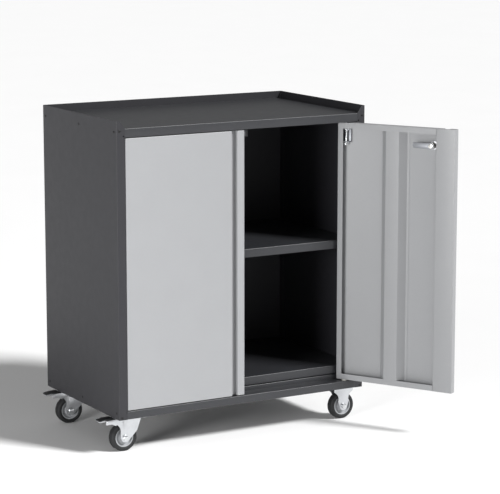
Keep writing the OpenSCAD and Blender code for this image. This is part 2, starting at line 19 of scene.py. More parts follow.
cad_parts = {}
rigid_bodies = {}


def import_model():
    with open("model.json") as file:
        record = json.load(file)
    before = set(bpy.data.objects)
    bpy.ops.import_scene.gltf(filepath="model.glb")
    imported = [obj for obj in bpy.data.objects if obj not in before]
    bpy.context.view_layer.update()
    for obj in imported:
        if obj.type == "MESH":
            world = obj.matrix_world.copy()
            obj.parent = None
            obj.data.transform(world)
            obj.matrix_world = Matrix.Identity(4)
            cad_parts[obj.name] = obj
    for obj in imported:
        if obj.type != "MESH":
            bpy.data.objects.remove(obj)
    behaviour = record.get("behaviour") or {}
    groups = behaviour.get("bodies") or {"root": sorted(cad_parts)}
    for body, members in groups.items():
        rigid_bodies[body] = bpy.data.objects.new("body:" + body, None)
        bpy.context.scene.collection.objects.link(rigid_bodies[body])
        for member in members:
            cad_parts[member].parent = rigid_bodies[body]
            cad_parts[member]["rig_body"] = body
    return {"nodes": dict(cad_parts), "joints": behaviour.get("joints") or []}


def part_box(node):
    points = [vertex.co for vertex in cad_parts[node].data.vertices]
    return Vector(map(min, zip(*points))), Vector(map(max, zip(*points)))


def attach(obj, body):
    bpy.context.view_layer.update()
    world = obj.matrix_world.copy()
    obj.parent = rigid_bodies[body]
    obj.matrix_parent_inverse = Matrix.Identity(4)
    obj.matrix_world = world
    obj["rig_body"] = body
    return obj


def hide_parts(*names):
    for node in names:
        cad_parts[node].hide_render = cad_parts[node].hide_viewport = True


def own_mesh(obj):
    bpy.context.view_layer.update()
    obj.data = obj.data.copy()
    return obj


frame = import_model()

logging.basicConfig(level=logging.INFO, format="%(name)s: %(message)s")
LOG = logging.getLogger("tool_cabinet")

MM = 0.001
# Edges over these angles stay sharp: sheet and easings, lathed pieces, wire.
SHARP_DEG = 35.0
LATHE_DEG = 28.0
COIL_DEG = 60.0
# Millimetres: easing of a plate, the run in which a fold changes its width, a running gap.
PLATE_EASE = 0.15
SEAM = 0.01
GAP = 0.05

Point = tuple[float, float]
Place = tuple[float, float, float]
Limit = float | Callable[[Point], float]
Links = dict[str | int, bpy.types.NodeSocket]
Settings = dict[str | int, object]


class Axis(Enum):
    """The direction that a folded profile runs in."""

    X = "x"
    Z = "z"


class End(Enum):
    """The two castors on each side of the cabinet."""

    FRONT = "front"
    REAR = "rear"


class Hand(Enum):
    """The two doors."""

    LEFT = "left"
    RIGHT = "right"


# ---------- materials ----------


def linear(code: str) -> tuple[float, float, float, float]:
    """Turns an sRGB hex colour into linear RGBA.

    Args:
        code: six hex digits with a leading hash.

    Returns:
        Linear red, green, blue and a full alpha.
    """
    parts = [int(code[i : i + 2], 16) / 255 for i in (1, 3, 5)]
    r, g, b = (c / 12.92 if c <= 0.04045 else ((c + 0.055) / 1.055) ** 2.4 for c in parts)
    return r, g, b, 1.0


def add_node(
    tree: bpy.types.NodeTree, kind: str, settings: Settings, links: Links | None = None
) -> bpy.types.Node:
    """Adds a node with its settings and links.

    Args:
        tree: the material's node tree.
        kind: the node's type name.
        settings: input defaults by name or index, and properties by name.
        links: input name or index to the output socket that feeds it.

    Returns:
        The new node.
    """
    node = tree.nodes.new(kind)
    for key, value in settings.items():
        if isinstance(key, int) or key in node.inputs:
            node.inputs[key].default_value = value
        else:
            setattr(node, key, value)
    for key, source in (links or {}).items():
        tree.links.new(source, node.inputs[key])
    return node


@dataclass(frozen=True)
class Finish:
    """A surface finish: one shader with a fine relief, a colour drift and a gloss drift.

    Sizes are real millimetres, and the spreads are shares of the colour and the roughness.
    """

    name: str
    colour: str
    roughness: float
    metallic: float = 0.0
    ior: float = 1.5
    grain_mm: float = 1.0
    grain_depth_mm: float = 0.01
    drift_mm: float = 80.0
    colour_spread: float = 0.03
    gloss_spread: float = 0.06
    stretch: tuple[float, float, float] = (1.0, 1.0, 1.0)

    def build(self) -> bpy.types.Material:
        """Makes the material.

        Returns:
            A node material named after the finish.
        """
        material = bpy.data.materials.new(self.name)
        material.use_nodes = True
        tree = material.node_tree
        tree.nodes.clear()
        place = add_node(tree, "ShaderNodeTexCoord", {}).outputs["Object"]
        mapped = add_node(
            tree, "ShaderNodeMapping", {"Scale": self.stretch}, {"Vector": place}
        ).outputs["Vector"]
        drift = self._noise(tree, place, self.drift_mm, 3.0)
        shader = add_node(
            tree,
            "ShaderNodeBsdfPrincipled",
            {"Metallic": self.metallic},
            {
                "Base Color": self._colour(tree, drift, mapped),
                "Roughness": self._gloss(tree, mapped),
                "Normal": self._relief(tree, mapped),
            },
        )
        if not self.metallic:
            shader.inputs["IOR"].default_value = self.ior
        add_node(tree, "ShaderNodeOutputMaterial", {}, {"Surface": shader.outputs["BSDF"]})
        return material

    def _noise(
        self, tree: bpy.types.NodeTree, place: bpy.types.NodeSocket, size_mm: float, detail: float
    ) -> bpy.types.NodeSocket:
        """Adds cloud noise whose spots are about size_mm across.

        Args:
            tree: the material's node tree.
            place: the coordinates it is drawn in.
            size_mm: spot size in millimetres.
            detail: number of finer layers.

        Returns:
            The noise value.
        """
        return add_node(
            tree,
            "ShaderNodeTexNoise",
            {"Scale": 1 / (size_mm * MM), "Detail": detail, "Roughness": 0.55},
            {"Vector": place},
        ).outputs["Fac"]

    def _colour(
        self, tree: bpy.types.NodeTree, drift: bpy.types.NodeSocket, place: bpy.types.NodeSocket
    ) -> bpy.types.NodeSocket:
        """Spreads the base colour a little darker and lighter.

        Args:
            tree: the material's node tree.
            drift: the slow noise.
            place: the grain's coordinates.

        Returns:
            The colour socket.
        """
        base = linear(self.colour)
        ramp = add_node(tree, "ShaderNodeValToRGB", {}, {"Fac": drift})
        for stop, position, gain in zip(
            ramp.color_ramp.elements, (0.3, 0.7), (1 - self.colour_spread, 1 + self.colour_spread)
        ):
            stop.position = position
            stop.color = (*(min(1.0, c * gain) for c in base[:3]), 1.0)
        fleck = self._noise(tree, place, self.grain_mm * 3, 2.0)
        return add_node(
            tree,
            "ShaderNodeMix",
            {"data_type": "RGBA", "blend_type": "SOFT_LIGHT", 0: self.colour_spread * 2},
            {6: ramp.outputs["Color"], 7: fleck},
        ).outputs[2]

    def _gloss(
        self, tree: bpy.types.NodeTree, place: bpy.types.NodeSocket
    ) -> bpy.types.NodeSocket:
        """Lets the roughness drift about its middle value.

        Args:
            tree: the material's node tree.
            place: the coordinates it is drawn in.

        Returns:
            The roughness socket.
        """
        spread = self.roughness * self.gloss_spread * 2
        return add_node(
            tree,
            "ShaderNodeMapRange",
            {"To Min": self.roughness - spread, "To Max": self.roughness + spread},
            {"Value": self._noise(tree, place, self.drift_mm * 0.3, 4.0)},
        ).outputs["Result"]

    def _relief(
        self, tree: bpy.types.NodeTree, place: bpy.types.NodeSocket
    ) -> bpy.types.NodeSocket:
        """Raises the grain out of the surface.

        Args:
            tree: the material's node tree.
            place: the grain's coordinates.

        Returns:
            The normal socket.
        """
        return add_node(
            tree,
            "ShaderNodeBump",
            {"Strength": 1.0, "Distance": self.grain_depth_mm * MM},
            {"Height": self._noise(tree, place, self.grain_mm, 2.0)},
        ).outputs["Normal"]


# Epoxy-polyester powder, sprayed and baked: a faint orange peel breaks up each reflection.
# The peel is about 1 mm across on the real sheet and is drawn at 2 mm so that it shows. The
# panels are the most matt, and the worktop and shelves have worn a little smoother. The side
# and back panels' copy is the same graphite powder painted darker: painted shade.
PANEL_POWDER_PAINTED_SHADE = Finish("powder_coat_graphite_painted_shade", "#26262a", 0.5, grain_mm=2.0,
                     grain_depth_mm=0.012, colour_spread=0.03)
BODY_POWDER = Finish("powder_coat_graphite_top", "#2f3033", 0.36, grain_mm=2.0,
                     grain_depth_mm=0.010, colour_spread=0.03)
DOOR_POWDER = Finish("powder_coat_light_grey", "#929395", 0.38, grain_mm=2.2,
                     grain_depth_mm=0.012, colour_spread=0.012)
# Bright zinc electroplate over pressed steel: cloudy crystals and a soft, silvery gloss.
ZINC = Finish("zinc_plated_steel", "#cfd1d4", 0.34, metallic=1.0, grain_mm=1.6,
              grain_depth_mm=0.008, drift_mm=18, colour_spread=0.05, gloss_spread=0.14)
# The lock bar and the hinge brackets are plated in a barrel: greyer, with a blurred shine.
BARREL_ZINC = Finish("barrel_plated_zinc", "#85878b", 0.5, metallic=1.0, grain_mm=1.0,
                     grain_depth_mm=0.006, drift_mm=12, colour_spread=0.05, gloss_spread=0.1)
# Zinc on turned and rolled parts is smoother, so axles and bolts glint.
BRIGHT_ZINC = Finish("zinc_plated_turned_steel", "#d6d8da", 0.22, metallic=1.0, grain_mm=0.8,
                     grain_depth_mm=0.004, drift_mm=8, colour_spread=0.04, gloss_spread=0.12,
                     stretch=(1.0, 1.0, 4.0))
# Patented spring wire, drawn bright.
SPRING_WIRE = Finish("drawn_spring_wire", "#b9bbbe", 0.26, metallic=1.0, grain_mm=0.4,
                     grain_depth_mm=0.003, drift_mm=6, colour_spread=0.05)
# Nickel-plated die-cast zinc on the lock: bright with a hint of warmth.
NICKEL = Finish("nickel_plated_die_cast", "#c9c8c4", 0.2, metallic=1.0, grain_mm=1.0,
                grain_depth_mm=0.003, drift_mm=10, colour_spread=0.04)
# Black oxide on steel screws: nearly black, with a dull oily shine.
BLACK_OXIDE = Finish("black_oxide_steel", "#0d0d0e", 0.42, metallic=0.2, grain_mm=0.5,
                     grain_depth_mm=0.004, drift_mm=5, colour_spread=0.10)
# Vulcanised rubber: dark, dusty and matt, with a fine moulded grain.
RUBBER = Finish("vulcanised_rubber", "#151618", 0.7, ior=1.52, grain_mm=0.9,
                grain_depth_mm=0.03, drift_mm=16, colour_spread=0.10, gloss_spread=0.08)
# Injection-moulded polypropylene wheel centre: satin, with slow flow marks.
POLYPROPYLENE = Finish("moulded_polypropylene_grey", "#97999c", 0.45, ior=1.49, grain_mm=0.8,
                       grain_depth_mm=0.012, drift_mm=14, colour_spread=0.04)
# Glass-filled nylon pedal cover and catch body: black with a spark-eroded texture.
BLACK_NYLON = Finish("moulded_black_nylon", "#1b1c1e", 0.5, ior=1.53, grain_mm=0.7,
                     grain_depth_mm=0.03, drift_mm=12, colour_spread=0.08)
# Natural nylon bush: milky white and slightly waxy.
NATURAL_NYLON = Finish("turned_natural_nylon", "#dcdad2", 0.4, ior=1.53, grain_mm=0.6,
                       grain_depth_mm=0.006, drift_mm=8, colour_spread=0.04)
# Sintered ferrite: flat dark grey, ground on its faces.
FERRITE = Finish("sintered_ferrite", "#4a4c4f", 0.6, ior=1.8, grain_mm=0.5,
                 grain_depth_mm=0.01, drift_mm=6, colour_spread=0.08)
# Painted studio floor: even, white and matt, with a hardly visible roller texture.
STUDIO_FLOOR = Finish("matt_studio_floor", "#fafafa", 0.75, grain_mm=6.0, grain_depth_mm=0.05,
                      drift_mm=900, colour_spread=0.004)


class Paintshop:
    """Makes each finish's material once and hands it out."""

    def __init__(self) -> None:
        """Starts with no material made."""
        self._made: dict[Finish, bpy.types.Material] = {}

    def material(self, finish: Finish) -> bpy.types.Material:
        """The material of a finish.

        Args:
            finish: the finish.

        Returns:
            Its material, made the first time it is asked for.
        """
        if finish not in self._made:
            self._made[finish] = finish.build()
        return self._made[finish]


PAINTS = Paintshop()


# ---------- mesh tools ----------


def corner_arc(
    before: Vector, corner: Vector, after: Vector, radius: float, steps: int
) -> tuple[list[Vector], Vector]:
    """Rounds one corner of a path.

    Args:
        before: the point before the corner.
        corner: the sharp corner.
        after: the point after the corner.
        radius: radius of the path itself.
        steps: number of facets.

    Returns:
        The points along the arc, and its centre.
    """
    a, b = (before - corner).normalized(), (after - corner).normalized()
    half = a.angle(b) / 2
    middle = corner + (a + b).normalized() * (radius / math.sin(half))
    start = corner + a * (radius / math.tan(half)) - middle
    sweep = math.pi - 2 * half
    turn = -1 if a.x * b.y - a.y * b.x > 0 else 1
    points = []
    for i in range(steps + 1):
        angle = turn * sweep * i / steps
        c, s = math.cos(angle), math.sin(angle)
        points.append(middle + Vector((start.x * c - start.y * s, start.x * s + start.y * c)))
    return points, middle


def fold(
    path: Sequence[Point], thickness: float, side: int, bend: float = 0.8, steps: int = 5
) -> list[tuple[Vector, Vector]]:
    """Bends a strip of sheet along a path.

    Args:
        path: corners of the sheet's shown surface.
        thickness: sheet thickness.
        side: 1 if the sheet's body lies left of the path, -1 if right.
        bend: radius on the inside of each bend.
        steps: facets in each bend.

    Returns:
        Pairs of points on the shown surface and the hidden one.
    """
    pts = [Vector(p) for p in path]
    pairs: list[tuple[Vector, Vector]] = []

    def beside(p: Vector, q: Vector) -> Vector:
        """Step from the shown surface to the hidden one beside a straight run."""
        d = (q - p).normalized()
        return Vector((-d.y, d.x)) * (thickness * side)

    pairs.append((pts[0], pts[0] + beside(pts[0], pts[1])))
    for p, c, q in zip(pts, pts[1:], pts[2:]):
        d0, d1 = (c - p).normalized(), (q - c).normalized()
        cross = d0.x * d1.y - d0.y * d1.x
        if abs(cross) < 1e-6:
            pairs.append((c, c + beside(p, c)))
            continue
        inside = (cross > 0) == (side > 0)
        radius = bend + thickness if inside else bend
        arc, middle = corner_arc(p, c, q, radius, steps)
        other = (radius - thickness if inside else radius + thickness) / radius
        pairs += [(a, middle + (a - middle) * other) for a in arc]
    pairs.append((pts[-1], pts[-1] + beside(pts[-2], pts[-1])))
    return pairs


def run_profile(
    bm: bmesh.types.BMesh,
    pairs: Sequence[tuple[Vector, Vector]],
    axis: Axis,
    low: Limit,
    high: Limit,
) -> None:
    """Runs a folded profile along an axis and closes it.

    Args:
        bm: the mesh that it is added to.
        pairs: shown and hidden points of the profile, in the axis's two outline directions.
        axis: the direction that it runs in.
        low: where it starts, a number or a rule on the shown point.
        high: where it ends, a number or a rule on the shown point.
    """

    def at(limit: Limit, p: Vector) -> float:
        """A limit's value at a point."""
        return limit((p.x, p.y)) if callable(limit) else limit

    def corner(p: Vector, along: float) -> bmesh.types.BMVert:
        """Adds one corner of the run."""
        return bm.verts.new((along, p.x, p.y) if axis is Axis.X else (p.x, p.y, along))

    rows = []
    for shown, hidden in pairs:
        a, b = at(low, shown), at(high, shown)
        rows.append((corner(shown, a), corner(shown, b), corner(hidden, b), corner(hidden, a)))
    for one, two in zip(rows, rows[1:]):
        for i in range(4):
            j = (i + 1) % 4
            bm.faces.new((one[i], one[j], two[j], two[i]))
    bm.faces.new(rows[0])
    bm.faces.new(tuple(reversed(rows[-1])))


def plate(bm: bmesh.types.BMesh, low: Place, high: Place) -> None:
    """Adds a flat plate between two corners, with its edges eased.

    Args:
        bm: the mesh that it is added to.
        low: lowest corner.
        high: highest corner.
    """
    made = bmesh.ops.create_cube(bm, size=1.0)["verts"]
    a, b = Vector(low), Vector(high)
    for v in made:
        v.co = Vector(((a[i] + b[i]) / 2 + v.co[i] * (b[i] - a[i]) for i in range(3)))
    edges = list({e for v in made for e in v.link_edges})
    bmesh.ops.bevel(bm, geom=edges, offset=PLATE_EASE, segments=1, affect="EDGES")


def lathe(
    bm: bmesh.types.BMesh, outline: Sequence[Point], turns: int, place: Matrix = Matrix()
) -> None:
    """Turns a closed outline about the Y axis.

    Args:
        bm: the mesh that it is added to.
        outline: radius and Y of each point.
        turns: number of facets round the axis.
        place: where the turned body goes.
    """
    rings = []
    for i in range(turns):
        a = 2 * math.pi * i / turns
        rings.append([
            bm.verts.new(place @ Vector((r * math.cos(a), y, r * math.sin(a))))
            for r, y in outline
        ])
    count = len(outline)
    for one, two in zip(rings, rings[1:] + rings[:1]):
        for j in range(count):
            k = (j + 1) % count
            bm.faces.new((one[j], one[k], two[k], two[j]))


def tube(bm: bmesh.types.BMesh, path: Sequence[Vector], radius: float, sides: int) -> None:
    """Sweeps a round wire along a path.

    Args:
        bm: the mesh that it is added to.
        path: centre line.
        radius: wire radius.
        sides: facets round the wire.
    """
    rings, up = [], Vector((0, 0, 1))
    for i, p in enumerate(path):
        ahead = (path[min(i + 1, len(path) - 1)] - path[max(i - 1, 0)]).normalized()
        out = ahead.cross(up).normalized()
        over = out.cross(ahead)
        rings.append([
            bm.verts.new(p + (out * math.cos(a) + over * math.sin(a)) * radius)
            for a in (2 * math.pi * k / sides for k in range(sides))
        ])
    for one, two in zip(rings, rings[1:]):
        for k in range(sides):
            bm.faces.new((one[k], one[(k + 1) % sides], two[(k + 1) % sides], two[k]))
    bm.faces.new(rings[0])
    bm.faces.new(tuple(reversed(rings[-1])))


def joined(bm: bmesh.types.BMesh, extra: bmesh.types.BMesh, place: Matrix = Matrix()) -> None:
    """Adds a placed copy of one mesh to another.

    Args:
        bm: the mesh that it is added to.
        extra: the mesh that is copied.
        place: where the copy goes.
    """
    copy = extra.copy()
    copy.transform(place)
    mesh = bpy.data.meshes.new("joined")
    copy.to_mesh(mesh)
    copy.free()
    bm.from_mesh(mesh)
    bpy.data.meshes.remove(mesh)


def carved(body: bmesh.types.BMesh, cutter: bmesh.types.BMesh) -> bmesh.types.BMesh:
    """Takes one solid out of another.

    Args:
        body: the solid that is cut; it is used up.
        cutter: the solid that is taken away; it is used up.

    Returns:
        What is left.
    """
    pair = []
    for bm in (body, cutter):
        bmesh.ops.recalc_face_normals(bm, faces=bm.faces)
        mesh = bpy.data.meshes.new("solid")
        bm.to_mesh(mesh)
        bm.free()
        pair.append(bpy.data.objects.new("solid", mesh))
        bpy.context.scene.collection.objects.link(pair[-1])
    cut = pair[0].modifiers.new("cut", "BOOLEAN")
    cut.operation, cut.solver, cut.object = "DIFFERENCE", "EXACT", pair[1]
    cut.use_self = True
    left = bmesh.new()
    left.from_object(pair[0], bpy.context.evaluated_depsgraph_get())
    for solid in pair:
        mesh = solid.data
        bpy.data.objects.remove(solid)
        bpy.data.meshes.remove(mesh)
    return left


def rounded_copy(node: str, width: float, segments: int = 2) -> bmesh.types.BMesh:
    """Copies a frame node's solid and eases all of its sharp edges.

    Args:
        node: the frame node.
        width: width of the easing in millimetres.
        segments: facets in each eased edge.

    Returns:
        The mesh, in the frame's metres.
    """
    bm = bmesh.new()
    bm.from_mesh(frame["nodes"][node].data)
    bmesh.ops.remove_doubles(bm, verts=bm.verts, dist=1e-6)
    bmesh.ops.dissolve_limit(
        bm, angle_limit=math.radians(0.5), verts=bm.verts, edges=bm.edges
    )
    sharp = [
        e for e in bm.edges
        if len(e.link_faces) == 2 and e.calc_face_angle(0.0) > math.radians(SHARP_DEG)
    ]
    bmesh.ops.bevel(
        bm, geom=sharp, offset=width * MM, segments=segments, profile=0.5,
        affect="EDGES", clamp_overlap=True,
    )
    return bm


@dataclass(frozen=True)
class Mounting:
    """Where a sub-assembly's pieces go and which body carries them."""

    place: Matrix
    body: str

    def finish(
        self, name: str, bm: bmesh.types.BMesh, finish: Finish, stands_for: Iterable[str] = (),
        sharp: float = SHARP_DEG,
    ) -> bpy.types.Object:
        """Turns a mesh into a named, dressed piece that rides on the body.

        Args:
            name: the piece's name.
            bm: its mesh in the sub-assembly's millimetres; it is used up.
            finish: its finish.
            stands_for: frame nodes that it replaces.
            sharp: angle in degrees over which an edge stays sharp.

        Returns:
            The piece.
        """
        bm.transform(self.place)
        bmesh.ops.recalc_face_normals(bm, faces=bm.faces)
        mesh = bpy.data.meshes.new(name)
        bm.to_mesh(mesh)
        bm.free()
        mesh.polygons.foreach_set("use_smooth", [True] * len(mesh.polygons))
        mesh.set_sharp_from_angle(angle=math.radians(sharp))
        mesh.materials.append(PAINTS.material(finish))
        piece = bpy.data.objects.new(name, mesh)
        bpy.context.scene.collection.objects.link(piece)
        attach(piece, self.body)
        if stands_for:
            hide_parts(*stands_for)
        LOG.info("%s: %d faces, %s", name, len(mesh.polygons), finish.name)
        return piece


def body_of(node: str) -> str:
    """Name of the body that carries a frame node."""
    return frame["nodes"][node]["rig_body"]


def ease_node(node: str, finish: Finish, width: float, segments: int = 2) -> None:
    """Stands an edge-eased, dressed copy in for a frame node.

    Args:
        node: the frame node.
        finish: its finish.
        width: width of the easing in millimetres.
        segments: facets in each eased edge.
    """
    mounting = Mounting(Matrix(), body_of(node))
    mounting.finish(f"{node}.eased", rounded_copy(node, width, segments), finish, [node])


def joint_named(name: str) -> dict:
    """The frame's joint of that name."""
    return next(j for j in frame["joints"] if j["name"] == name)


# ---------- cabinet ----------


@dataclass
class Cabinet:
    """The body: panels, worktop, base and shelves, drawn from the lower front left corner."""

    origin: Vector = field(default_factory=lambda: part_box("side_panel_left")[0])
    width: float = 800.0
    depth: float = 474.0
    height: float = 834.0
    sheet: float = 1.0
    flange: float = 25.5
    flange_top: float = 10.0
    rim: float = 21.5
    band: float = 25.0
    rail: float = 23.0
    riser: float = 13.0
    setback: float = 46.0
    play: float = 0.2
    return_depth: float = 22.0
    back_flange: float = 22.0
    back_flange_low: float = 40.0
    back_flange_below: float = 28.0
    edge_drop: float = 20.0
    corner_run: float = 0.9
    brace_half: float = 20.0
    brace_drop: float = 16.0
    brace_end: float = 3.0
    rail_return: float = 20.0
    shelf_rise: float = 27.0
    shelf_lip: float = 12.0
    shelf_drop: float = 25.0
    shelf_play: float = 1.4
    shelf_back: float = 4.0
    middle_shelf: float = 437.5
    relief_inset: float = 4.0
    relief_r: float = 2.2
    relief_below_top: float = 21.0
    relief_below_rail: float = 2.7
    side_screw_in: float = 16.0
    side_screw_below: float = 9.5
    side_screw_low: float = 17.5
    front_screw_in: float = 9.0
    front_screw_end: float = 6.5

    def __post_init__(self) -> None:
        """Works out the placement and the derived heights."""
        self.place = Matrix.Translation(self.origin) @ Matrix.Scale(MM, 4)
        self.mounting = Mounting(self.place, body_of("side_panel_left"))
        self.worktop = self.height - self.rim
        self.inner = self.sheet + self.play
        self.front = self.flange + self.play
        self.back = self.depth - self.inner
        self.deck = self.rail + self.riser
        self.step = self.sheet + self.corner_run

    def build(self) -> None:
        """Builds and dresses every piece of the body."""
        self._side_panels()
        self._back_panel()
        self._worktop()
        self._brace()
        self._base()
        self._shelf("bottom_shelf", self.shelf_rise + self.deck, self.deck)
        self._shelf("middle_shelf", self.middle_shelf, self.middle_shelf - self.shelf_drop)
        self._screws()
        for node in ("castor_channel_left", "castor_channel_right", "shelf_brackets"):
            ease_node(node, BODY_POWDER, 0.3)
        ease_node("pivot_bushes", NATURAL_NYLON, 0.3)

    def _side_panels(self) -> None:
        """Folded side panels with a front flange cut to a slope beside the rim."""
        slope = self.rim / (self.flange - self.flange_top)

        def top(point: Point) -> float:
            """Height of the panel, which slopes down at the end of the front flange."""
            x = min(point[0], self.width - point[0])
            past = max(0.0, x - self.flange_top)
            return self.height - past * slope if point[1] < 3 * self.sheet else self.height

        for name, side, flip in (
            ("side_panel_left", -1, lambda x: x),
            ("side_panel_right", 1, lambda x: self.width - x),
        ):
            path = [
                (flip(self.flange), 0.0), (flip(self.flange_top), 0.0),
                (flip(0.0), 0.0), (flip(0.0), self.depth),
            ]
            bm = bmesh.new()
            run_profile(bm, fold(path, self.sheet, side), Axis.Z, 0.0, top)
            bm = carved(bm, self._relief_holes(flip(self.flange - self.relief_inset)))
            # The panels' darker copy of the graphite powder is painted shade.
            self.mounting.finish(f"{name}.folded", bm, PANEL_POWDER_PAINTED_SHADE, [name])

    def _relief_holes(self, x: float) -> bmesh.types.BMesh:
        """Cutter for the bend-relief holes beside the ends of a door.

        Args:
            x: distance of the holes from the body's left side.

        Returns:
            Two short cylinders through the front flange.
        """
        holes = bmesh.new()
        for z in (self.rail - self.relief_below_rail, self.worktop - self.relief_below_top):
            outline = [(0.0, -1.0), (self.relief_r, -1.0), (self.relief_r, 3.0), (0.0, 3.0)]
            lathe(holes, outline, 32, Matrix.Translation((x, 0.0, z)))
        bmesh.ops.remove_doubles(holes, verts=holes.verts, dist=1e-4)
        return holes

    def _back_panel(self) -> None:
        """Back sheet whose side flanges stop short of the base and the worktop."""
        x0, x1 = self.inner, self.width - self.inner
        fore, line = self.depth - self.back_flange, self.depth - 2 * self.sheet
        path = [(x0, fore), (x0, self.depth), (x1, self.depth), (x1, fore)]
        bm = bmesh.new()
        run_profile(
            bm, fold(path, self.sheet, -1), Axis.Z,
            lambda p: 0.0 if p[1] > line else self.back_flange_low,
            lambda p: self.height if p[1] > line else self.worktop - self.back_flange_below,
        )
        # The back panel's darker copy of the graphite powder is painted shade.
        self.mounting.finish("back_panel.folded", bm, PANEL_POWDER_PAINTED_SHADE, ["back_panel"])

    def _worktop(self) -> None:
        """Worktop folded from one sheet: return, front band, top and rear edge."""
        top, low = self.worktop, self.worktop - self.band
        path = [
            (self.return_depth, low), (0.0, low), (0.0, top), (self.step, top),
            (self.step + SEAM, top), (self.back, top), (self.back, top - self.edge_drop),
        ]
        bm = bmesh.new()
        run_profile(
            bm, fold(path, self.sheet, -1), Axis.X,
            lambda p: self._spans_top(p, self.inner, self.front),
            lambda p: self._spans_top(p, self.width - self.inner, self.width - self.front),
        )
        for x in (self.inner, self.width - self.inner - self.sheet):
            plate(bm, (x, self.inner, top - self.edge_drop),
                  (x + self.sheet, self.back - self.sheet, top - self.sheet))
        self.mounting.finish("worktop.folded", bm, BODY_POWDER, ["worktop"])

    def _spans_top(self, point: Point, wide: float, narrow: float) -> float:
        """The band is narrow, and the top behind it runs on to the side panels."""
        behind = point[0] > self.step + SEAM / 2
        return wide if behind and point[1] > self.worktop - self.edge_drop - 2 else narrow

    def _brace(self) -> None:
        """Channel that keeps the worktop from bowing."""
        y, top = self.depth / 2, self.worktop - self.sheet
        fore, back, low = y - self.brace_half, y + self.brace_half, top - self.brace_drop
        path = [(fore, top), (fore, low), (back, low), (back, top)]
        bm = bmesh.new()
        run_profile(bm, fold(path, self.sheet, 1), Axis.X,
                    self.brace_end, self.width - self.brace_end)
        self.mounting.finish("worktop_brace.folded", bm, BODY_POWDER, ["worktop_brace"])

    def _base(self) -> None:
        """Front rail with its return and ledge, and the deck with its riser behind it."""
        path = [
            (self.rail_return, 0.0), (0.0, 0.0), (0.0, self.rail), (self.step, self.rail),
            (self.step + SEAM, self.rail), (self.setback - GAP, self.rail),
        ]

        def wide(point: Point, behind: float, beside: float) -> float:
            """The rail is narrow, and the ledge behind it runs on to the side panels."""
            on_ledge = point[0] > self.step + SEAM / 2 and point[1] > self.rail / 2
            return behind if on_ledge else beside

        bm = bmesh.new()
        run_profile(
            bm, fold(path, self.sheet, -1), Axis.X,
            lambda p: wide(p, self.inner, self.front),
            lambda p: wide(p, self.width - self.inner, self.width - self.front),
        )
        sides = (self.inner, self.width - self.inner - self.sheet)
        for x in sides:
            plate(bm, (x, self.inner, self.sheet),
                  (x + self.sheet, self.setback - 2 * GAP, self.rail - self.sheet))
        for x in (self.inner, self.width - self.front):
            plate(bm, (x, self.inner, 2 * self.sheet),
                  (x + self.front - self.inner, self.inner + self.sheet, self.rail - self.sheet))
        self.mounting.finish("base_rail.folded", bm, BODY_POWDER, ["base_rail"])

        path = [
            (self.setback, self.rail - self.sheet), (self.setback, self.deck),
            (self.back, self.deck), (self.back, self.sheet),
        ]
        bm = bmesh.new()
        run_profile(bm, fold(path, self.sheet, -1), Axis.X, self.inner, self.width - self.inner)
        for x in sides:
            plate(bm, (x, self.setback + self.sheet, self.sheet),
                  (x + self.sheet, self.back - self.sheet, self.deck - self.sheet))
        self.mounting.finish("base_deck.folded", bm, BODY_POWDER, ["base_deck"])

    def _shelf(self, name: str, top: float, foot: float) -> None:
        """One shelf: return, front edge, top and rear edge folded from one sheet.

        Args:
            name: the frame node.
            top: height of its top face.
            foot: height of its side and rear edges' lower ends.
        """
        x0, lip = self.inner + self.shelf_play, top - self.shelf_drop
        back = self.depth - self.shelf_back
        path = [
            (self.setback + self.shelf_lip, lip), (self.setback, lip), (self.setback, top),
            (back, top), (back, foot),
        ]
        bm = bmesh.new()
        run_profile(bm, fold(path, self.sheet, -1), Axis.X, x0, self.width - x0)
        for x in (x0, self.width - x0 - self.sheet):
            plate(bm, (x, self.setback + self.shelf_lip + self.sheet, foot),
                  (x + self.sheet, back - self.sheet, top - self.sheet))
        self.mounting.finish(f"{name}.folded", bm, BODY_POWDER, [name])

    def _screws(self) -> None:
        """Pan-head screws with a cross recess."""
        head = screw_mesh()
        bm = bmesh.new()
        for place in self._screw_places():
            joined(bm, head, place)
        head.free()
        self.mounting.finish("panel_screws.pan_head", bm, BLACK_OXIDE, ["panel_screws"])

    def _screw_places(self) -> list[Matrix]:
        """Places of the screws, each pointing into the sheet along its own Y axis.

        Returns:
            One matrix for each screw.
        """
        places = []
        for z in (self.worktop - self.side_screw_below, self.side_screw_low):
            for y in (self.side_screw_in, self.depth / 2, self.depth - self.side_screw_in):
                for x, turn in ((0.0, -90), (self.width, 90)):
                    places.append(
                        Matrix.Translation((x, y, z)) @ Matrix.Rotation(math.radians(turn), 4, "Z")
                    )
        for x in (self.front_screw_in, self.width - self.front_screw_in):
            for z in (self.worktop - self.front_screw_end, self.front_screw_end):
                places.append(Matrix.Translation((x, 0.0, z)))
        return places


def screw_mesh() -> bmesh.types.BMesh:
    """A pan-head screw with a cross recess, along +Y from its head's seat at Y 0.

    Returns:
        The mesh in millimetres.
    """
    outline = [(0.0, -1.4), (1.6, -1.38), (2.6, -1.2), (3.3, -0.8), (3.7, -0.3),
               (3.8, 0.0), (1.9, 0.0), (1.9, 2.5), (0.0, 2.5)]
    body = bmesh.new()
    lathe(body, outline, 32)
    bmesh.ops.remove_doubles(body, verts=body.verts, dist=1e-4)
    cutter = bmesh.new()
    blade = [(-2.0, -1.6), (2.0, -1.6), (0.9, -0.4), (-0.9, -0.4)]
    for turn in (20, 110):
        arm = bmesh.new()
        run_flat(arm, blade, -0.4, 0.4)
        joined(cutter, arm, Matrix.Rotation(math.radians(turn), 4, "Y"))
        arm.free()
    return carved(body, cutter)


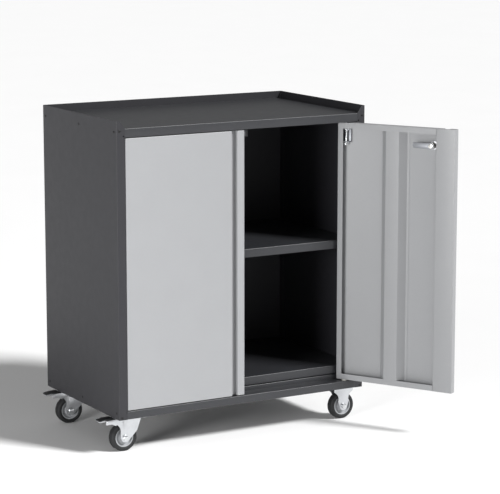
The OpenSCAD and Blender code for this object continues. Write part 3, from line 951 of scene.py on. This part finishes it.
def run_flat(
    bm: bmesh.types.BMesh, outline: Sequence[Point], low: float, high: float
) -> None:
    """Gives a flat outline in X and Y a thickness along Z.

    Args:
        bm: the mesh that it is added to.
        outline: its corners.
        low: lower face.
        high: upper face.
    """
    ends = [[bm.verts.new((x, y, z)) for x, y in outline] for z in (low, high)]
    for i in range(len(outline)):
        j = (i + 1) % len(outline)
        bm.faces.new((ends[0][i], ends[0][j], ends[1][j], ends[1][i]))
    bm.faces.new(ends[0])
    bm.faces.new(tuple(reversed(ends[1])))


# ---------- doors ----------


@dataclass
class Door:
    """One door, drawn from its hinge edge: X to the free edge, Y into the cabinet."""

    hand: Hand
    cabinet: Cabinet
    thickness: float = 20.0
    pivot_in: float = 25.5
    pivot_y: float = 15.0
    lip: float = 17.0
    groove_in: float = 23.0
    groove_width: float = 17.0
    groove_depth: float = 13.0
    box_in: float = 60.5
    hat_flat: Point = (155.0, 196.0)
    hat_run: float = 19.0
    hat_foot: float = 7.0
    bend: float = 0.8
    proud: float = 0.3
    wall_band: float = 0.5
    skin_band: float = 0.9
    bolt_travel: float = 13.0
    bracket_below: float = 56.5
    bracket_height: float = 39.0

    def __post_init__(self) -> None:
        """Works out the door's box, its place and its body."""
        low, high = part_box("left_door_skin")
        inward = (low - self.cabinet.origin) / MM
        self.width = (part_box("left_door_edge_channel")[1].x - low.x) / MM
        self.z0 = inward.z
        self.z1 = (high.z - self.cabinet.origin.z) / MM
        name = self.hand.value
        place = self.cabinet.place @ Matrix.Translation((inward.x, 0, 0))
        if self.hand is Hand.RIGHT:
            joint = joint_named("right_door_hinge")
            pivot = Matrix.Translation(joint["pos_m"])
            opening = Matrix.Rotation(math.radians(max(map(abs, joint["range_deg"]))), 4, "Z")
            place = (
                pivot @ opening @ pivot.inverted() @ self.cabinet.place
                @ Matrix.Translation((self.cabinet.width - inward.x, 0, 0))
                @ Matrix.Diagonal((-1, 1, 1, 1))
            )
        self.mounting = Mounting(place, body_of(f"{name}_door_skin"))
        self.groove = self.width - self.groove_in - self.groove_width
        self.box = self.width - self.box_in
        self.outer = self.bend + self.cabinet.sheet

    def build(self) -> None:
        """Builds and dresses the door's pieces."""
        name = self.hand.value
        self._skin(f"{name}_door_skin")
        self._hat(f"{name}_door_stiffener")
        self._edge_channel(f"{name}_door_edge_channel")
        ease_node(f"{name}_hinge_bracket", BARREL_ZINC, 0.35)
        ease_node(f"{name}_hinge_bolt", BRIGHT_ZINC, 0.4)
        ease_node(f"{name}_pivot_pin", BRIGHT_ZINC, 0.4)
        self._spring(f"{name}_hinge_spring")
        if self.hand is Hand.LEFT:
            ease_node("left_bolt_guide", ZINC, 0.35)
            ease_node("left_slide_bolt", BRIGHT_ZINC, 0.5)

    def _skin(self, node: str) -> None:
        """Pan: front face with all its edges folded, up to the finger groove's near wall.

        Args:
            node: the frame node it stands for.
        """
        t, g0 = self.thickness, self.groove
        path = [(self.lip, t), (0, t), (0, 0), (g0, 0), (g0, self.groove_depth - GAP)]
        bm = bmesh.new()
        self._run_section(bm, path, 1)
        for top in (True, False):
            self._end_fold(bm, top, self.outer, self.box, 0.0, self.lip)
            self._end_fold(bm, top, self.box, g0, 0.0, 0.0)
        self.mounting.finish(f"{node}.pressed", bm, DOOR_POWDER, [node])

    def _edge_channel(self, node: str) -> None:
        """Box section with the finger groove, folded round the door's free edge.

        Args:
            node: the frame node it stands for.
        """
        t, g0, g1 = self.thickness, self.groove, self.groove + self.groove_width
        box = self.box + 2 * GAP
        path = [
            (g0 - self.cabinet.sheet, self.groove_depth), (g1, self.groove_depth), (g1, 0),
            (self.width, 0), (self.width, t), (box, t), (box, self.cabinet.sheet + GAP),
        ]
        bm = bmesh.new()
        self._run_section(bm, path, 1)
        for top in (True, False):
            self._end_fold(bm, top, g0, g1, self.groove_depth, 0.0)
            self._end_fold(bm, top, g1, self.width - self.outer, 0.0, 0.0)
        self.mounting.finish(f"{node}.folded", bm, DOOR_POWDER, [node])

    def _run_section(self, bm: bmesh.types.BMesh, path: Sequence[Point], side: int) -> None:
        """Runs a section up the door, short of its ends where the end folds take over.

        Args:
            bm: the mesh that it is added to.
            path: corners of the section's shown surface.
            side: side of the path that the sheet's body lies on.
        """
        run_profile(
            bm, fold(path, self.cabinet.sheet, side, self.bend), Axis.Z,
            lambda p: self.z0 + self._inset(p), lambda p: self.z1 - self._inset(p),
        )

    def _inset(self, point: Point) -> float:
        """How far a section stops short of the door's ends, to meet the end folds.

        Args:
            point: a point on its outline.

        Returns:
            The distance in millimetres.
        """
        x, y = point
        reach = self.outer + SEAM
        on_inner_wall = self.box < x < self.box + self.wall_band
        if y < self.outer and not on_inner_wall:
            return reach - (reach - self.proud) * max(0.0, y) / self.outer
        if min(x, self.width - x) < self.skin_band:
            return self.proud
        if y > self.thickness - self.outer:
            return self.lip + 2 * SEAM if x < self.box else self.cabinet.sheet + GAP
        if on_inner_wall:
            return self.lip
        return reach if y > self.groove_depth - 2 * GAP else self.proud

    def _end_fold(
        self, bm: bmesh.types.BMesh, top: bool, low: float, high: float, front: float, lip: float
    ) -> None:
        """One fold along one end of the door.

        Args:
            bm: the mesh that it is added to.
            top: True for the upper end.
            low: where it starts along the door.
            high: where it ends.
            front: how deep the face it is folded from lies.
            lip: depth of its inner lip, or 0 for none.
        """
        t, r, sheet = self.thickness, self.outer, self.cabinet.sheet

        def z(depth: float) -> float:
            """Height of a point that lies this far in from the door's end."""
            return self.z1 - depth if top else self.z0 + depth

        def near_wall(point: Point) -> float:
            """Where a fold beside the groove's near wall ends."""
            return high - sheet - (self.bend if point[0] <= r else 0.0)

        def far_wall(point: Point) -> float:
            """Where a fold beside the groove's far wall starts."""
            if point[0] > self.groove_depth + sheet:
                return low
            return low + (sheet if point[0] > r else r)

        path = [(t, z(0)), (front, z(0)), (front, z(r + SEAM))]
        if lip:
            path.insert(0, (t, z(lip)))
        start: Limit = low if front or low != self.groove + self.groove_width else far_wall
        end: Limit = high if front or high != self.groove else near_wall
        run_profile(bm, fold(path, sheet, 1 if top else -1, self.bend), Axis.X, start, end)

    def _hat(self, node: str) -> None:
        """Hat section that stiffens the middle of the door.

        Args:
            node: the frame node it stands for.
        """
        sheet, (f0, f1), t = self.cabinet.sheet, self.hat_flat, self.thickness
        low = 2 * sheet
        path = [
            (f0 - self.hat_run - self.hat_foot, low), (f0 - self.hat_run, low), (f0, t),
            (f1, t), (f1 + self.hat_run, low), (f1 + self.hat_run + self.hat_foot, low),
        ]
        bm = bmesh.new()
        run_profile(
            bm, fold(path, sheet - GAP, -1, self.bend), Axis.Z,
            self.z0 + self.lip + 2 * GAP, self.z1 - self.lip - 2 * GAP,
        )
        self.mounting.finish(f"{node}.hat", bm, DOOR_POWDER, [node])

    def _spring(self, node: str) -> None:
        """Coil spring that keeps the upper pivot bolt out, squeezed as the bolt goes down.

        Args:
            node: the frame node it stands for.
        """
        wire, radius, coils, per_turn = 0.6, 3.9, 9.0, 28
        closed_turns, closed_pitch = 1.2, 1.6 * wire
        seat_up, cap_down = 2.0, 4.3
        bracket_low = self.z1 - self.bracket_below
        seat = bracket_low + seat_up
        first = seat + wire
        last = bracket_low + self.bracket_height - cap_down - wire
        closed = closed_turns / coils
        span = last - first - 2 * closed_turns * closed_pitch
        count = int(coils * per_turn)
        path = []
        for i in range(count + 1):
            share = i / count
            rise = span * min(1.0, max(0.0, (share - closed) / (1 - 2 * closed)))
            ends = min(share, closed) + max(0.0, share - 1 + closed)
            angle = 2 * math.pi * coils * share
            path.append(Vector((
                self.pivot_in + radius * math.cos(angle),
                self.pivot_y + radius * math.sin(angle),
                first + ends * coils * closed_pitch + rise,
            )))
        bm = bmesh.new()
        tube(bm, path, wire, 10)
        piece = self.mounting.finish(f"{node}.coil", bm, SPRING_WIRE, [node], COIL_DEG)
        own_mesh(piece)


@dataclass
class Lock:
    """Cam lock on the right door."""

    def build(self) -> None:
        """Builds and dresses the lock's pieces."""
        for node, finish, width in (
            ("lock_barrel", NICKEL, 0.5), ("lock_nut", ZINC, 0.4),
            ("lock_plug", NICKEL, 0.25), ("lock_cam", BARREL_ZINC, 0.4),
        ):
            ease_node(node, finish, width, 3)


@dataclass
class Catch:
    """Magnetic catch under the worktop's return."""

    def build(self) -> None:
        """Builds and dresses the catch's pieces."""
        ease_node("catch_housing", BLACK_NYLON, 0.4)
        ease_node("catch_magnets", FERRITE, 0.3)


# ---------- castors ----------


@dataclass
class Castor:
    """One castor with its wheel, drawn about the wheel's axle."""

    end: End
    swivels: bool
    radius: float = 40.0
    tyre_width: float = 26.0
    rim: float = 28.0
    shoulder: float = 7.0
    axle: float = 6.0
    gap: float = 31.0

    def __post_init__(self) -> None:
        """Finds the castor's nodes and the middle of its wheel."""
        self.name = f"{self.end.value}_{'swivel' if self.swivels else 'rigid'}"
        low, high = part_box(f"{self.name}_tyre")
        place = Matrix.Translation((low + high) / 2) @ Matrix.Scale(MM, 4)
        self.wheel = Mounting(place, body_of(f"{self.name}_tyre"))

    def build(self) -> None:
        """Builds and dresses the castor's pieces."""
        self._tyre()
        self._hub()
        if self.swivels:
            ease_node(f"{self.name}_plate", ZINC, 0.5)
            ease_node(f"{self.name}_fork", ZINC, 0.6, 3)
            ease_node(f"{self.name}_axle", BRIGHT_ZINC, 0.5)
            ease_node(f"{self.end.value}_brake_pedal", ZINC, 0.4)
            ease_node(f"{self.end.value}_pedal_tread", BLACK_NYLON, 0.5)
        else:
            ease_node(f"{self.name}_bracket", ZINC, 0.6, 3)

    def _tyre(self) -> None:
        """Tyre with round shoulders, a sidewall bead and a moulding line round the tread."""
        half, r, s = self.tyre_width / 2, self.radius, self.shoulder
        flank = [
            (self.rim, half - 2), (self.rim + 0.8, half - 1.2), (self.rim + 2.2, half - 0.7),
            (self.rim + 2.8, half - 0.1), (self.rim + 3.6, half), (r - s - 0.4, half),
        ]
        flank += [
            (r - s + s * math.sin(a), half - s + s * math.cos(a))
            for a in (math.radians(9 * i) for i in range(1, 11))
        ]
        flank += [(r, 0.9), (r - 0.35, 0.5)]
        outline = flank + [(p, -y) for p, y in reversed(flank)]
        bm = bmesh.new()
        lathe(bm, outline, 96)
        self.wheel.finish(f"{self.name}_tyre.moulded", bm, RUBBER, [f"{self.name}_tyre"],
                          LATHE_DEG)

    def _hub(self) -> None:
        """Wheel centre with a stepped rim, a dished web, a raised ring and a boss."""
        half, boss = self.tyre_width / 2, self.gap / 2 - 0.4
        flank = [
            (self.rim - 0.1, half - 2.5), (self.rim - 0.7, half - 1.9), (25.2, half - 1.9),
            (24.4, half - 2.6), (23.4, 5.8), (22.6, 5.1), (20.4, 5.0), (20.0, 5.8),
            (18.6, 5.8), (18.2, 5.0), (14.2, 5.6), (13.2, 6.4), (12.2, boss - 0.7),
            (11.5, boss), (self.axle + 0.6, boss), (self.axle + 0.05, boss - 0.6),
        ]
        outline = flank + [(p, -y) for p, y in reversed(flank)]
        bm = bmesh.new()
        lathe(bm, outline, 96)
        self.wheel.finish(f"{self.name}_hub.moulded", bm, POLYPROPYLENE, [f"{self.name}_hub"],
                          LATHE_DEG)


def build_fixings() -> None:
    """Castor bolts, nuts, kingpins and the rigid castors' axles."""
    for node, finish, width in (
        ("castor_bolts", BRIGHT_ZINC, 0.5), ("castor_nuts", BRIGHT_ZINC, 0.5),
        ("kingpins", BRIGHT_ZINC, 0.6), ("rigid_axles", BRIGHT_ZINC, 0.5),
    ):
        ease_node(node, finish, width)


# ---------- studio ----------


@dataclass
class Studio:
    """Plain pale floor, soft lights and the camera."""

    camera_at: tuple[float, float, float] = (-2.9941, -5.2181, 1.6095)
    yaw_deg: float = 30.02
    pitch_deg: float = 10.07
    lens_mm: float = 153.0
    floor_size: float = 120.0

    def build(self) -> None:
        """Builds the floor, the lights, the world and the camera."""
        self._floor()
        self._world(0.22)
        self._key((0.417, -0.618, 0.668), 4.0, 11.0)
        self._softbox("left_fill", (-4.8, -2.4, 0.95), (0.0, 0.0, 0.5), 1.6, 180.0)
        self._camera()

    def _floor(self) -> None:
        """Large flat floor under the wheels."""
        bm = bmesh.new()
        bmesh.ops.create_grid(bm, x_segments=8, y_segments=8, size=self.floor_size / 2)
        mesh = bpy.data.meshes.new("floor")
        bm.to_mesh(mesh)
        bm.free()
        mesh.materials.append(PAINTS.material(STUDIO_FLOOR))
        floor = bpy.data.objects.new("floor", mesh)
        bpy.context.scene.collection.objects.link(floor)

    def _world(self, strength: float) -> None:
        """Even white surroundings.

        Args:
            strength: brightness of the surroundings.
        """
        world = bpy.data.worlds.new("studio")
        world.use_nodes = True
        shade = world.node_tree.nodes["Background"]
        shade.inputs["Color"].default_value = linear("#ffffff")
        shade.inputs["Strength"].default_value = strength
        bpy.context.scene.world = world

    def _key(self, towards: Place, strength: float, spread_deg: float) -> None:
        """Distant key light.

        Args:
            towards: direction from the cabinet to the light.
            strength: its irradiance.
            spread_deg: how wide it looks, which softens its shadows.
        """
        data = bpy.data.lights.new("key", "SUN")
        data.energy, data.angle = strength, math.radians(spread_deg)
        light = bpy.data.objects.new("key", data)
        light.rotation_euler = (-Vector(towards)).to_track_quat("-Z", "Y").to_euler()
        bpy.context.scene.collection.objects.link(light)

    def _softbox(
        self, name: str, at: Place, towards: Place, size: float, watts: float
    ) -> None:
        """Square soft light.

        Args:
            name: the light's name.
            at: its place in metres.
            towards: the point that it faces.
            size: its side in metres.
            watts: its power.
        """
        data = bpy.data.lights.new(name, "AREA")
        data.size, data.energy = size, watts
        light = bpy.data.objects.new(name, data)
        light.location = at
        aim = Vector(towards) - Vector(at)
        light.rotation_euler = aim.to_track_quat("-Z", "Y").to_euler()
        bpy.context.scene.collection.objects.link(light)

    def _camera(self) -> None:
        """Long-lens camera in front of the left corner, looking slightly down."""
        data = bpy.data.cameras.new("camera")
        data.lens, data.sensor_width = self.lens_mm, 36.0
        data.clip_end = 500.0
        camera = bpy.data.objects.new("camera", data)
        camera.location = self.camera_at
        camera.rotation_euler = (
            math.radians(90 - self.pitch_deg), 0.0, math.radians(-self.yaw_deg)
        )
        bpy.context.scene.collection.objects.link(camera)
        bpy.context.scene.camera = camera
        bpy.context.scene.view_settings.view_transform = "Standard"


def main() -> None:
    """Builds the scene."""
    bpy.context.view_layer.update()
    Studio().build()
    cabinet = Cabinet()
    cabinet.build()
    for hand in Hand:
        Door(hand, cabinet).build()
    Lock().build()
    Catch().build()
    for end in End:
        for swivels in (True, False):
            Castor(end, swivels).build()
    build_fixings()
    LOG.info("cabinet done")


if __name__ == "__main__":
    main()
